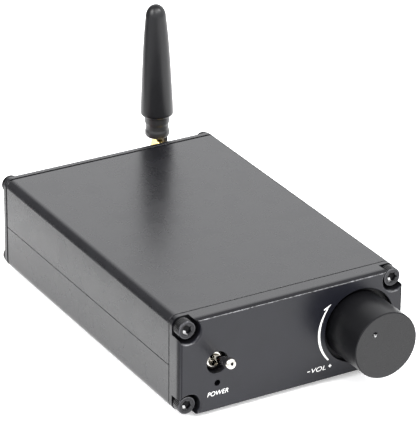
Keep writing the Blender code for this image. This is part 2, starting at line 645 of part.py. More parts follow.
def make_components():
    can = mm((0, 16), (4.2, 16), (5, 15.4), (5, 1.6), (4.7, 1.2), (5, 0.8), (5, 0), (0, 0))
    for number, x in enumerate((-26 * MM, -13 * MM), 1):
        turned(f"capacitor_{number}", can, case_point(x, 92 * MM, PART_BASE), UP, "black_plastic", 20)
    for number, x in enumerate((-24 * MM, 24 * MM), 1):
        size = mm((12, 12, 7))[0]
        place = case_point(x, 58 * MM, PART_BASE + size[2] / 2)
        box(f"inductor_{number}", size, place, "black_plastic", 1.5 * MM)
    module_size = mm((14, 24, 1))[0]
    module_place = case_point(20 * MM, 90 * MM, PART_BASE + module_size[2] / 2)
    module = box("bluetooth_module", module_size, module_place, "board_laminate")
    shield = box("module_shield", mm((11, 14, 2.4))[0], module_place + Vector((0, -3 * MM, 1.2 * MM)))
    combine(module, shield, "UNION")


def make_antenna_lead():
    """Thin coaxial lead from the antenna's jack down to the bluetooth module."""
    start = case_point(ANTENNA_X, CASE_LENGTH - 8 * MM - GAP, ANTENNA_Z)
    end = case_point(20 * MM, 99 * MM, PART_BASE + 1 * MM + GAP)
    controls = (start, start + Vector((0, -11 * MM, 0)), end + Vector((0, 0, 12 * MM)), end)
    points = []
    steps = 14
    for i in range(steps + 1):
        t = i / steps
        weights = ((1 - t) ** 3, 3 * t * (1 - t) ** 2, 3 * t * t * (1 - t), t ** 3)
        points.append(sum((w * c for w, c in zip(weights, controls)), Vector()))
    wire("antenna_lead", points, 0.6 * MM, "black_plastic")


for old in list(bpy.data.objects):
    bpy.data.objects.remove(old)
PARTS = collection("bluetooth_audio_receiver")
CUTTERS = collection("cutters")

make_shells()
make_front_panel()
make_rear_panel()
make_screws()
make_feet()
make_knob()
make_potentiometer()
make_toggle()
make_power_led()
make_posts()
make_jacks()
make_antenna_socket()
make_antenna()
make_board()
make_heat_sink()
make_components()
make_antenna_lead()

for part in PARTS.objects:
    part.data.shade_smooth()
    part.data.set_sharp_from_angle(angle=math.radians(35))
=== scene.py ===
import json
import math

import bmesh
import bpy
from mathutils import Matrix, Vector


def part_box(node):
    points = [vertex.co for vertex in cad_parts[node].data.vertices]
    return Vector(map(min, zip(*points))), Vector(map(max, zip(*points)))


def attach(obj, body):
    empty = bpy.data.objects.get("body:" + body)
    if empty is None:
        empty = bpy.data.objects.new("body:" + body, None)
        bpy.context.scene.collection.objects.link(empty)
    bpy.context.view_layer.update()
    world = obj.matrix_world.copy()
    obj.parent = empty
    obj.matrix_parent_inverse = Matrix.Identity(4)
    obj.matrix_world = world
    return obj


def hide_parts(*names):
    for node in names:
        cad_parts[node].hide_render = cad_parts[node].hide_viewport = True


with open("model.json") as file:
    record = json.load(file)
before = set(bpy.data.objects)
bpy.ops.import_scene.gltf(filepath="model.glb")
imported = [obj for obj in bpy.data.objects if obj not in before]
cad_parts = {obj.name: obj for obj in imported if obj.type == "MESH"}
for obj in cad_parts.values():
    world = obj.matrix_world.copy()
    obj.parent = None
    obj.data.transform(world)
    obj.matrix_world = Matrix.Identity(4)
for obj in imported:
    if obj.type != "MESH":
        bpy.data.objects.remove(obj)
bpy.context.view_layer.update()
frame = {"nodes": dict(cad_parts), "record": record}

SCENE = bpy.context.scene
MM = 0.001

# Driving sizes of the case in mm; the places come from the frame.
WIDTH, HEIGHT, LENGTH = 87, 35, 120
CORNER, WALL, GAP = 3, 2, 0.3
SEAM, LAP, TONGUE = 16.6, 2, 0.8
BOARD_BOTTOM, BOARD_TOP = 9.1, 10.7
FRONT_PANEL, REAR_PANEL = 8, 2
SCREW_INSET, BOSS, SCREW = 3.4, 3.3, 1.75
# The front panel's screw notches, the radius of the knob's recess, and the lamp hole's height
NOTCH_DEPTH, RECESS, LAMP_Z = 5.9, 13.7, 9.9
# Middles, x and z, of the rear panel's socket holes
SOCKETS = {"dc_jack": (34.6, 17), "aux_jack": (26.4, 14.5), "sma_jack": (26.6, 27.5)}
CASE_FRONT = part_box("lower_shell")[0].y - GAP / 2 * MM
CASE_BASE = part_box("lower_shell")[0].z

# Rotations that turn a local +Z axis up, to the front, to the rear or to the right
UP = (0, 0, 0)
FRONT = (math.pi / 2, 0, 0)
REAR = (-math.pi / 2, 0, 0)
RIGHT = (0, math.pi / 2, 0)


def case_point(x, y, z):
    """A place in mm from the case's middle, the shells' front end and the case's underside."""
    return Vector((x * MM, y * MM + CASE_FRONT, z * MM + CASE_BASE))


def centre(node):
    """The middle of a CAD node, in mm from the case's own reference point."""
    low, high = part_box(node)
    middle = (low + high) / 2 - case_point(0, 0, 0)
    return middle / MM


# ---------------------------------------------------------------- node helpers

def stretched(tree, source, start, end, low, high, interpolation="LINEAR"):
    """Map start..end of a value to low..high."""
    node = tree.nodes.new("ShaderNodeMapRange")
    node.interpolation_type = interpolation
    limits = {"From Min": start, "From Max": end, "To Min": low, "To Max": high}
    for key, value in limits.items():
        node.inputs[key].default_value = value
    tree.links.new(source, node.inputs["Value"])
    return node.outputs["Result"]


def product(tree, first, second):
    """Multiply two values."""
    node = tree.nodes.new("ShaderNodeMath")
    node.operation = "MULTIPLY"
    tree.links.new(first, node.inputs[0])
    tree.links.new(second, node.inputs[1])
    return node.outputs[0]


def dot_product(tree, first, second):
    """Dot product of a vector value with another one or with a fixed vector."""
    node = tree.nodes.new("ShaderNodeVectorMath")
    node.operation = "DOT_PRODUCT"
    tree.links.new(first, node.inputs[0])
    if isinstance(second, Vector):
        node.inputs[1].default_value = second
    else:
        tree.links.new(second, node.inputs[1])
    return node.outputs["Value"]


# ---------------------------------------------------------------- camera and light

def add_camera():
    """Long lens from the front left, a little above."""
    azimuth, elevation, roll = math.radians(-30.122), math.radians(25.597), math.radians(0.552)
    distance, target = 1.07987, case_point(8.14, 63.89, 34.56)
    back = Vector((math.sin(azimuth) * math.cos(elevation), -math.cos(azimuth) * math.cos(elevation),
                   math.sin(elevation)))
    right = Vector((math.cos(azimuth), math.sin(azimuth), 0))
    turn = Matrix((right, back.cross(right), back)).transposed().to_4x4()
    data = bpy.data.cameras.new("camera")
    data.sensor_width = 36
    data.lens = 260.54
    data.clip_start, data.clip_end = 0.05, 20
    camera = bpy.data.objects.new("camera", data)
    place = Matrix.Translation(target + back * distance)
    camera.matrix_world = place @ turn @ Matrix.Rotation(roll, 4, "Z")
    SCENE.collection.objects.link(camera)
    SCENE.camera = camera


def add_area(name, place, size, power):
    """Soft box that faces the object."""
    data = bpy.data.lights.new(name, "AREA")
    data.shape = "RECTANGLE"
    data.size, data.size_y = size
    data.energy = power
    light = bpy.data.objects.new(name, data)
    light.location = place
    light.rotation_euler = (-Vector(place)).to_track_quat("-Z", "Y").to_euler()
    SCENE.collection.objects.link(light)


def add_world():
    """White tent with a darker band overhead and near the horizon, and two dark flags."""
    world = bpy.data.worlds.new("studio")
    SCENE.world = world
    world.use_nodes = True
    tree = world.node_tree
    direction = tree.nodes.new("ShaderNodeTexCoord").outputs["Generated"]
    split = tree.nodes.new("ShaderNodeSeparateXYZ")
    tree.links.new(direction, split.inputs[0])
    height = split.outputs["Z"]
    # A large flag behind the left shoulder of the object, and a small low one at its right rear
    large_flag = dot_product(tree, direction, Vector((-0.5, 0.78, 0.12)).normalized())
    small_flag = dot_product(tree, direction, Vector((0.64, 0.77, -0.03)).normalized())

    strength = stretched(tree, height, 0.56, 0.8, 2.1, 0.9, "SMOOTHSTEP")
    for source, start, end, full, least in ((height, 0.0, 0.3, 0.72, 1.0),
                                            (large_flag, 0.64, 0.86, 1.0, 0.22),
                                            (small_flag, 0.95, 0.985, 1.0, 0.2)):
        factor = stretched(tree, source, start, end, full, least, "SMOOTHSTEP")
        strength = product(tree, strength, factor)
    background = tree.nodes["Background"]
    tree.links.new(strength, background.inputs["Strength"])
    background.inputs["Color"].default_value = (0.985, 0.99, 1, 1)
    SCENE.view_settings.view_transform = "Standard"


def add_floor():
    """Pale table in two sheets; the object only mirrors the one under and in front of it.

    The surround fills the rest of the table for the camera alone.
    """
    left, right, front, back, far = -0.08, 2.5, -2.5, 0.3, 2.5
    paper = bpy.data.materials.new("floor_paper")
    paper.use_nodes = True
    shader = paper.node_tree.nodes["Principled BSDF"]
    shader.inputs["Base Color"].default_value = (0.9, 0.9, 0.9, 1)
    shader.inputs["Roughness"].default_value = 0.9
    shader.inputs["Emission Color"].default_value = (1, 1, 1, 1)
    shader.inputs["Emission Strength"].default_value = 0.34
    sheets = {"floor": [(left, right, front, back)],
              "floor_surround": [(-right, left, front, far), (left, right, back, far)]}
    for name, rectangles in sheets.items():
        corners = []
        for x0, x1, y0, y1 in rectangles:
            corners += [(x0, y0, 0), (x1, y0, 0), (x1, y1, 0), (x0, y1, 0)]
        mesh = bpy.data.meshes.new(name)
        mesh.from_pydata(corners, [], [range(i, i + 4) for i in range(0, len(corners), 4)])
        mesh.materials.append(paper)
        sheet = bpy.data.objects.new(name, mesh)
        SCENE.collection.objects.link(sheet)
        if name == "floor_surround":
            sheet.visible_diffuse = False
            sheet.visible_glossy = False
            sheet.visible_shadow = False


# ---------------------------------------------------------------- materials

def noise(tree, vector, size, detail):
    """Noise whose features are about size mm across."""
    node = tree.nodes.new("ShaderNodeTexNoise")
    node.inputs["Scale"].default_value = 1 / (size * MM)
    node.inputs["Detail"].default_value = detail
    tree.links.new(vector, node.inputs["Vector"])
    return node.outputs["Fac"]


def edge_wear(tree, patches, amount):
    """How worn each point is: most on edges, in patches."""
    soft = tree.nodes.new("ShaderNodeBevel")
    soft.samples = 4
    soft.inputs["Radius"].default_value = 0.2 * MM
    hard = tree.nodes.new("ShaderNodeNewGeometry")
    turn = dot_product(tree, soft.outputs["Normal"], hard.outputs["Normal"])
    edge = stretched(tree, turn, 0.98, 0.8, 0, amount)
    patch = stretched(tree, patches, 0.42, 0.6, 0, 1)
    return product(tree, edge, patch)


def ring_coordinates(tree, coordinates):
    """Distance from local Z and height along it, which make noise run in rings."""
    split = tree.nodes.new("ShaderNodeSeparateXYZ")
    flat = tree.nodes.new("ShaderNodeCombineXYZ")
    length = tree.nodes.new("ShaderNodeVectorMath")
    length.operation = "LENGTH"
    rings = tree.nodes.new("ShaderNodeCombineXYZ")
    tree.links.new(coordinates, split.inputs[0])
    tree.links.new(split.outputs["X"], flat.inputs["X"])
    tree.links.new(split.outputs["Y"], flat.inputs["Y"])
    tree.links.new(flat.outputs[0], length.inputs[0])
    tree.links.new(length.outputs["Value"], rings.inputs["X"])
    tree.links.new(split.outputs["Z"], rings.inputs["Y"])
    return rings.outputs[0]


def surface(name, colour, roughness, metallic=0.0, specular=0.5, grain=0.35, bump=0.01, mottle=0.25,
            blotch=9.0, spread=0.06, turned=False, coat=0.0, wear=0.0, bare=(0.3, 0.3, 0.31)):
    """Finish with a fine grain in its relief, worn edges, and slow changes of colour and roughness.

    Sizes are in mm. A turned finish has its grain in rings round the piece's own axis.
    """
    material = bpy.data.materials.new(name)
    material.use_nodes = True
    tree = material.node_tree
    nodes, links = tree.nodes, tree.links
    shader = nodes["Principled BSDF"]
    shader.inputs["Metallic"].default_value = metallic
    shader.inputs["Specular IOR Level"].default_value = specular
    shader.inputs["Coat Weight"].default_value = coat
    shader.inputs["Coat Roughness"].default_value = 0.15
    coordinates = nodes.new("ShaderNodeTexCoord").outputs["Object"]
    fine = noise(tree, ring_coordinates(tree, coordinates) if turned else coordinates, grain, 3)
    slow = noise(tree, coordinates, blotch, 4)

    tint = nodes.new("ShaderNodeMix")
    tint.data_type = "RGBA"
    tint.inputs["A"].default_value = (*[c * (1 - mottle) for c in colour], 1)
    tint.inputs["B"].default_value = (*[min(1, c * (1 + mottle)) for c in colour], 1)
    links.new(stretched(tree, product(tree, fine, slow), 0, 1, -0.4, 2.4), tint.inputs["Factor"])
    worn = nodes.new("ShaderNodeMix")
    worn.data_type = "RGBA"
    worn.inputs["B"].default_value = (*bare, 1)
    links.new(tint.outputs["Result"], worn.inputs["A"])
    links.new(edge_wear(tree, slow, wear), worn.inputs["Factor"])
    links.new(worn.outputs["Result"], shader.inputs["Base Color"])
    rough = stretched(tree, slow, 0, 1, roughness - spread, roughness + spread)
    links.new(rough, shader.inputs["Roughness"])
    relief = nodes.new("ShaderNodeBump")
    relief.inputs["Strength"].default_value = 1.0
    relief.inputs["Distance"].default_value = bump * MM
    links.new(fine, relief.inputs["Height"])
    links.new(relief.outputs["Normal"], shader.inputs["Normal"])
    return material


BLACK = (0.0055, 0.0055, 0.007)
KNOB_BLACK = (0.0035, 0.0035, 0.0042)
SLOTS = {
    "case": surface("case_anodised", BLACK, 0.27, grain=0.3, specular=0.46, wear=0.12),
    "panel": surface("panel_anodised", (0.0055, 0.0058, 0.009), 0.3, grain=0.3, specular=0.28,
                     wear=0.12),
    "knob": surface("knob_anodised", KNOB_BLACK, 0.27, specular=0.3, grain=0.25, bump=0.008,
                    turned=True, wear=0.05),
    "screw": surface("black_nickel", (0.03, 0.03, 0.032), 0.14, 1.0, grain=0.6, mottle=0.5,
                     coat=0.12, wear=0.6),
    "switch_metal": surface("nickel", (0.62, 0.6, 0.56), 0.12, 1.0, grain=0.3, bump=0.003,
                            turned=True, wear=0.3, bare=(0.5, 0.42, 0.28)),
    "gold": surface("gold_plate", (0.86, 0.6, 0.22), 0.18, 1.0, grain=0.3, bump=0.004, wear=0.4,
                    bare=(0.75, 0.68, 0.55)),
    "antenna_rubber": surface("antenna_rubber", (0.006, 0.006, 0.007), 0.3, specular=0.3,
                              grain=0.5, bump=0.012, wear=0.06),
    "foot": surface("foot_rubber", (0.02, 0.02, 0.02), 0.7, grain=0.25, bump=0.03, wear=0.2,
                    bare=(0.09, 0.09, 0.085)),
    "black_plastic": surface("black_plastic", (0.012, 0.012, 0.012), 0.38, grain=0.4, bump=0.012,
                             wear=0.15, bare=(0.08, 0.08, 0.08)),
    "red_plastic": surface("red_plastic", (0.4, 0.012, 0.012), 0.3, grain=0.4, coat=0.2, wear=0.3,
                           bare=(0.5, 0.12, 0.1)),
    "lamp": surface("lamp_lens", (0.05, 0.06, 0.12), 0.1, grain=0.5, bump=0.002, mottle=0.1,
                    wear=0.1),
    "board": surface("solder_mask", (0.012, 0.075, 0.03), 0.3, grain=0.6, bump=0.02, mottle=0.4,
                     blotch=4, wear=0.4, bare=(0.3, 0.26, 0.14)),
    "bare_aluminium": surface("bare_aluminium", (0.62, 0.62, 0.64), 0.32, 1.0, grain=0.2,
                              bump=0.006, wear=0.3, bare=(0.8, 0.8, 0.8)),
}
# Finishes of parts of a piece, with painted shade, painted highlights and painted light among them
# Painted shade: a darker black for the inside of holes, sockets and hollows, and for the knob face's
# rim.
DARK = surface("shaded_black", (0.004, 0.004, 0.005), 0.4, specular=0.12, grain=0.3, bump=0.006,
               wear=0.05)
# Painted highlight: a brighter metal for the panel's up-facing front edges.
EDGE_HIGHLIGHT = surface("panel_edge_painted_highlight", (0.085, 0.085, 0.09), 0.3, 0.6, grain=1.2, bump=0.004,
                   mottle=0.9, wear=0.3)
WORN_STEEL = surface("worn_steel", (0.075, 0.075, 0.08), 0.2, 1.0, grain=0.5, mottle=0.5, wear=0.3)
# Painted highlight: a bright metal for a few faces in small hollows that face the light.
HIGHLIGHT_STEEL = surface("painted_highlight_steel", (0.65, 0.65, 0.65), 0.4, 1.0, grain=0.5, mottle=0.15,
                         wear=0.3)
KNOB_SIDE = surface("knob_side", KNOB_BLACK, 0.35, specular=0.2, grain=0.25, bump=0.005, wear=0.05)
# Painted light: a lighter copy of the sleeve's rubber that lifts the shade on the antenna's neck.
NECK_LIGHT = surface("antenna_neck_painted_light", (0.022, 0.022, 0.023), 0.4, specular=0.4, grain=0.5, bump=0.012,
                 wear=0.06)
PRINT = surface("white_ink", (0.82, 0.82, 0.81), 0.55, grain=0.25, bump=0.004, mottle=0.06)


def rim_surface():
    """The case's finish, whose shine fades towards the front edge of the panel: painted shade for a
    dark reflected band there.
    """
    material = surface("panel_rim", BLACK, 0.27, grain=0.3)
    tree = material.node_tree
    split = tree.nodes.new("ShaderNodeSeparateXYZ")
    tree.links.new(tree.nodes.new("ShaderNodeTexCoord").outputs["Object"], split.inputs[0])
    # Painted shade: the shine fades out near the front edge, which darkens the band there.
    shine = stretched(tree, split.outputs["Z"], 1.9 * MM, 3.4 * MM, 0.03, 0.46)
    tree.links.new(shine, tree.nodes["Principled BSDF"].inputs["Specular IOR Level"])
    return material


RIM = rim_surface()


# ---------------------------------------------------------------- mesh tools

SHARP_ANGLE = math.radians(32)


def mesh_from(bm, name):
    """The shape as a new mesh with its normals outwards."""
    bmesh.ops.recalc_face_normals(bm, faces=bm.faces)
    mesh = bpy.data.meshes.new(name)
    bm.to_mesh(mesh)
    bm.free()
    return mesh


def rough_object(name, mesh, location=(0, 0, 0), rotation=UP):
    """An object that isn't a piece yet."""
    obj = bpy.data.objects.new(name, mesh)
    obj.location = location
    obj.rotation_euler = rotation
    SCENE.collection.objects.link(obj)
    return obj


def piece(obj, slot, body, node):
    """Give a finished object its material and its body, and hide the CAD node it stands for."""
    obj.data.materials.clear()
    obj.data.materials.append(SLOTS[slot])
    obj.data.shade_smooth()
    obj.data.set_sharp_from_angle(angle=SHARP_ANGLE)
    flat = obj.modifiers.new("flat_faces", "WEIGHTED_NORMAL")
    flat.keep_sharp = True
    flat.weight = 100
    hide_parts(node)
    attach(obj, body)


def arc(middle, radius, start, end, steps):
    """Points on an arc, angles in degrees, both ends included."""
    angles = [math.radians(start + (end - start) * i / steps) for i in range(steps + 1)]
    return [(middle[0] + radius * math.cos(a), middle[1] + radius * math.sin(a)) for a in angles]


def circle(middle, radius, steps=48):
    """Points round a circle."""
    return arc(middle, radius, 0, 360, steps)[:-1]


def rounded_rectangle(width, height, radius, steps):
    """Points round a rectangle about the origin, with round corners."""
    points = []
    for sx, sy, start in ((1, 1, 0), (-1, 1, 90), (-1, -1, 180), (1, -1, 270)):
        middle = (sx * (width / 2 - radius), sy * (height / 2 - radius))
        points += arc(middle, radius, start, start + 90, steps)
    return points


def evaluated(obj):
    """The object's shape with its modifiers as a new mesh, with doubled points merged."""
    bpy.context.view_layer.update()
    depsgraph = bpy.context.evaluated_depsgraph_get()
    mesh = bpy.data.meshes.new_from_object(obj.evaluated_get(depsgraph))
    bm = bmesh.new()
    bm.from_mesh(mesh)
    bmesh.ops.remove_doubles(bm, verts=bm.verts, dist=0.000001)
    bm.to_mesh(mesh)
    bm.free()
    return mesh


def plate(name, outlines, thickness, edge, location):
    """Upright outline with holes, extruded about its middle, with rounded edges; sizes in mm."""
    curve = bpy.data.curves.new(name, "CURVE")
    curve.dimensions = "2D"
    curve.fill_mode = "BOTH"
    curve.extrude = (thickness / 2 - edge) * MM
    curve.bevel_depth = edge * MM
    curve.bevel_resolution = 2
    curve.offset = -edge * MM
    for outline in outlines:
        spline = curve.splines.new("POLY")
        spline.points.add(len(outline) - 1)
        for point, (x, y) in zip(spline.points, outline):
            point.co = (x * MM, y * MM, 0, 1)
        spline.use_cyclic_u = True
    guide = rough_object(name, curve)
    mesh = evaluated(guide)
    bpy.data.objects.remove(guide)
    return rough_object(name, mesh, location, FRONT)


def polar(name, rings, location, rotation, segments=96, closed=False):
    """Loft of (radius, height) rings in mm round local Z; a radius may be a function of the angle."""
    bm = bmesh.new()
    loops = []
    for radius, height in rings:
        if radius == 0:
            loops.append([bm.verts.new((0, 0, height * MM))])
            continue
        loop = []
        for i in range(segments):
            angle = 2 * math.pi * i / segments
            reach = (radius(angle) if callable(radius) else radius) * MM
            loop.append(bm.verts.new((reach * math.cos(angle), reach * math.sin(angle), height * MM)))
        loops.append(loop)
    pairs = list(zip(loops, loops[1:]))
    if closed:
        pairs.append((loops[-1], loops[0]))
    for upper, lower in pairs:
        for i in range(segments):
            corners = [upper[i % len(upper)], upper[i - 1 if len(upper) > 1 else 0],
                       lower[i - 1 if len(lower) > 1 else 0], lower[i % len(lower)]]
            bm.faces.new(list(dict.fromkeys(corners)))
    return rough_object(name, mesh_from(bm, name), location, rotation)


def hexagon(across):
    """Radius of a hexagon, given across its flats, at each angle."""
    def radius(angle):
        """Reach from the middle to the nearest flat."""
        return across / 2 / math.cos((angle + math.pi / 6) % (math.pi / 3) - math.pi / 6)
    return radius


def cut_hexagon(across, limit):
    """Radius of a hexagon whose corners are turned down to a limit, at each angle."""
    plain = hexagon(across)
    return lambda angle: min(plain(angle), limit)


def fluted(radius, depth, count):
    """Radius of a circle with rounded grooves, at each angle."""
    return lambda angle: radius - depth * (0.5 - 0.5 * math.cos(angle * count)) ** 2


def box(name, size, location, edge=0.0):
    """Block about its middle, with rounded edges if an edge radius is given; sizes in mm."""
    bm = bmesh.new()
    bmesh.ops.create_cube(bm, size=1)
    bmesh.ops.scale(bm, vec=[s * MM for s in size], verts=bm.verts)
    if edge:
        bmesh.ops.bevel(bm, geom=bm.edges[:], offset=edge * MM, segments=3, affect="EDGES", profile=0.5)
    return rough_object(name, mesh_from(bm, name), location)


def combine(obj, *others, operation="DIFFERENCE"):
    """Boolean with each other object, which goes afterwards."""
    for other in others:
        modifier = obj.modifiers.new(other.name, "BOOLEAN")
        modifier.operation = operation
        modifier.object = other
    mesh = evaluated(obj)
    obj.modifiers.clear()
    obj.data = mesh
    for other in others:
        bpy.data.objects.remove(other)


# ---------------------------------------------------------------- case

def shell_outline():
    """Lower half shell's section, seen from the front, in mm."""
    half, inner = WIDTH / 2, WIDTH / 2 - WALL
    left_top = SEAM - GAP / 2
    right_top = HEIGHT - SEAM - GAP / 2
    tongue_top = SEAM + LAP
    groove_floor = HEIGHT - tongue_top - GAP
    boss_x = half - SCREW_INSET
    boss_angle = math.degrees(math.acos((SCREW_INSET - WALL) / BOSS))
    reach, rib = 1.7, 1.5
    rail = inner - reach
    rails = [BOARD_TOP + rib, BOARD_TOP + GAP, BOARD_BOTTOM - GAP, BOARD_BOTTOM - rib]

    points = [(-half, left_top)]
    points += arc((CORNER - half, CORNER), CORNER, 180, 270, 16)
    points += arc((half - CORNER, CORNER), CORNER, 270, 360, 16)
    points += [(half, right_top), (inner + TONGUE + GAP, right_top)]
    points += [(inner + TONGUE + GAP, groove_floor), (inner, groove_floor)]
    points += [(inner, rails[0]), (rail, rails[0]), (rail, rails[1]), (inner, rails[1])]
    points += [(inner, rails[2]), (rail, rails[2]), (rail, rails[3]), (inner, rails[3])]
    points += arc((boss_x, SCREW_INSET), BOSS, boss_angle, 270 - boss_angle, 14)
    points += arc((-boss_x, SCREW_INSET), BOSS, boss_angle - 90, 180 - boss_angle, 14)
    points += [(-inner, rails[3]), (-rail, rails[3]), (-rail, rails[2]), (-inner, rails[2])]
    points += [(-inner, rails[1]), (-rail, rails[1]), (-rail, rails[0]), (-inner, rails[0])]
    points += [(-inner, tongue_top), (-inner - TONGUE, tongue_top), (-inner - TONGUE, left_top)]
    return points


def make_shells():
    """The two half shells; the upper one is the lower one turned half round."""
    boss_x = WIDTH / 2 - SCREW_INSET
    lower = [shell_outline()]
    lower += [circle((side * boss_x, SCREW_INSET), SCREW + GAP, 24) for side in (-1, 1)]
    upper = [[(-x, HEIGHT - z) for x, z in outline] for outline in lower]
    front, back = 0.02, LENGTH - 0.5
    middle = case_point(0, (front + back) / 2, 0)
    for name, outlines in (("lower", lower), ("upper", upper)):
        shell = plate(f"{name}_case_shell", outlines, back - front, 0.12, middle)
        piece(shell, "case", "case", f"{name}_shell")


def screw_centres():
    """Name endings and places, x and z, of the four corner screws."""
    x = WIDTH / 2 - SCREW_INSET
    for level, z in (("bottom", SCREW_INSET), ("top", HEIGHT - SCREW_INSET)):
        for side, sx in (("left", -x), ("right", x)):
            yield f"{level}_{side}", sx, z


def flared_hole(name, x, z, radius, depth, flare, flare_depth):
    """Cutter from the panel's face to a depth, with a rounded mouth at the face."""
    overshoot, steps = 4, 6
    rings = [(0, overshoot), (radius + flare, overshoot)]
    for i in range(steps + 1):
        angle = math.pi / 2 * i / steps
        rings.append((radius + flare * (1 - math.sin(angle)), -flare_depth * (1 - math.cos(angle))))
    rings += [(radius, -depth), (0, -depth)]
    return polar(name, rings, case_point(x, -FRONT_PANEL, z), FRONT, 96)


def front_plate():
    """The front panel's plate before its holes, at its place in the frame."""
    edge, side_edge = 0.3, 0.7
    sections = []
    for depth in (0, 0.04, 0.15, edge, 0.5, side_edge):
        insets = []
        for radius in (side_edge, edge):
            insets.append(radius - math.sqrt(radius ** 2 - max(0, radius - depth) ** 2))
        sections.append((depth, *insets))
    back, back_edge, steps = FRONT_PANEL - 0.1, 0.5, 5
    for i in range(steps + 1):
        angle = math.pi / 2 * i / steps
        inset = back_edge * (1 - math.cos(angle))
        sections.append((back - back_edge * (1 - math.sin(angle)), inset, inset))

    bm = bmesh.new()
    rings = []
    for depth, inset_x, inset_z in sections:
        width, height = WIDTH - 2 * inset_x, HEIGHT - 2 * inset_z
        outline = rounded_rectangle(width, height, CORNER - inset_z, 14)
        rings.append([bm.verts.new((x * MM, z * MM, depth * MM)) for x, z in outline])
    for lower, upper in zip(rings, rings[1:]):
        for i in range(len(lower)):
            bm.faces.new((lower[i - 1], lower[i], upper[i], upper[i - 1]))
    bm.faces.new(reversed(rings[0]))
    bm.faces.new(rings[-1])
    name = "front_face_panel"
    return rough_object(name, mesh_from(bm, name), case_point(0, -FRONT_PANEL, HEIGHT / 2), REAR)


def make_front_panel():
    """Thick plate with screw notches, a knob recess and control holes."""
    panel = front_plate()
    knob, toggle, lamp = centre("volume_knob"), centre("toggle_bushing"), centre("power_led")
    notch_radius, through = 4.4, FRONT_PANEL + 4
    cutters = []
    for name, x, z in screw_centres():
        cutters.append(flared_hole(f"notch_{name}", x, z, notch_radius, NOTCH_DEPTH, 0.8, 1.0))
    for name, x, z in screw_centres():
        cutters.append(flared_hole(f"through_{name}", x, z, SCREW + GAP, through, 0.1, 0.1))
    cutters.append(flared_hole("recess", knob.x, knob.z, RECESS, 2.5, 0.25, 0.25))
    cutters.append(flared_hole("bushing_hole", knob.x, knob.z, 3.95, through, 0.1, 0.1))
    cutters.append(flared_hole("toggle_hole", toggle.x, toggle.z, 4.0, through, 0.3, 0.35))
    cutters.append(flared_hole("lamp_hole", lamp.x, LAMP_Z, 1.1, through, 0.12, 0.12))
    pocket = [(0, 5.6), (2.2, 5.6), (2.2, -4), (0, -4)]
    cutters.append(polar("lamp_pocket", pocket, case_point(lamp.x, 0, LAMP_Z), FRONT, 48))
    combine(panel, *cutters)
    piece(panel, "panel", "case", "front_panel")
    paint_front_panel(panel, knob)


def paint_front_panel(panel, knob):
    """Case finish with a painted shade of fading shine on the rim, brighter metal as a painted
    highlight on the up-facing front edges and notch lips, painted shade inside the holes.

    The panel's own axes run to the right, down and to the rear.
    """
    face_finish, rim, edge_shine, shaded = range(4)
    for material in (RIM, EDGE_HIGHLIGHT, DARK):
        panel.data.materials.append(material)
    half_width, half_height, margin = WIDTH / 2 * MM, HEIGHT / 2 * MM, 0.6 * MM
    for face in panel.data.polygons:
        x, down, depth = face.center
        normal = face.normal
        outside = max(abs(x) - half_width, abs(down) - half_height) > -margin
        to_knob = math.hypot(x - knob.x * MM, half_height - down - knob.z * MM)
        in_recess = to_knob < (RECESS + 0.05) * MM
        on_lower_lip = down < 0 and normal.y < -0.4 and normal.z < -0.3 and -0.2 < normal.x < 0.5
        if abs(normal.z) > 0.99 and depth < 0.1 * MM:
            face.material_index = face_finish
        # Painted highlight: brighter metal on the up-facing lips of the upper notches.
        elif on_lower_lip and not outside and not in_recess:
            face.material_index = edge_shine
        # Painted highlight: brighter metal on the up-facing front edge along the top.
        elif outside and depth < 0.3 * MM and normal.y < -0.2:
            face.material_index = edge_shine
        elif outside and 0.25 < abs(normal.x) < 0.97 and abs(normal.y) < 0.1:
            face.material_index = face_finish
        # The rest of the rim takes the fading shine, a painted shade.
        elif outside:
            face.material_index = rim
        # Painted shade inside the knob's recess and the deep parts of the holes.
        elif in_recess or depth > 1.1 * MM:
            face.material_index = shaded


def make_rear_panel():
    """Thin plate with a smaller land behind it, which leaves a dark line to the shells."""
    middle, inset = HEIGHT / 2, 0.9
    holes = [circle((x, z - middle), SCREW + GAP, 24) for _, x, z in screw_centres()]
    for number in range(1, 5):
        post = centre(f"post_cap_{number}")
        holes.append(circle((post.x, post.z - middle), 2.6, 32))
    for node, radius in (("dc_jack", 4.3), ("aux_jack", 3.1), ("sma_jack", 3.5)):
        x, z = SOCKETS[node]
        holes.append(circle((x, z - middle), radius, 48))
    outer = rounded_rectangle(WIDTH, HEIGHT, CORNER, 16)
    inner = rounded_rectangle(WIDTH - 2 * inset, HEIGHT - 2 * inset, CORNER - inset, 16)
    place, land_place = case_point(0, LENGTH + 1.4, middle), case_point(0, LENGTH + 0.25, middle)
    panel = plate("rear_face_panel", [outer] + holes, 1.85, 0.12, place)
    land = plate("rear_land", [inner] + holes, 1.2, 0.1, land_place)
    combine(panel, land, operation="UNION")
    piece(panel, "case", "case", "rear_panel")


def screw_rings(height, round_over, socket_depth):
    """Socket head screw with a knurled side and a threaded shank; zero is the head's underside."""
    head, key = 3.3, 3.0
    knurl, socket = fluted(head, 0.14, 36), hexagon(key)
    floor = height - socket_depth
    rings = [(0, floor - 0.6), (0.75, floor - 0.3), (socket, floor), (socket, height - 0.25),
             (key / 2 + 0.5, height), (head - round_over - 0.15, height)]
    rings += arc((head - round_over, height - round_over), round_over, 80, 10, 5)
    rings += [(knurl, height - round_over - 0.3), (knurl, 0.35), (head - 0.2, 0.15), (head - 0.2, 0),
              (SCREW, 0)]
    depth, pitch, length = 0.25, 0.7, 14
    plain_top, tip = 1, 0.6
    for turn in range(int((length - plain_top - tip) / pitch)):
        top = -plain_top - turn * pitch
        rings += [(SCREW, top), (SCREW - depth, top - pitch / 2)]
    rings += [(SCREW - tip, -length), (0, -length)]
    return rings


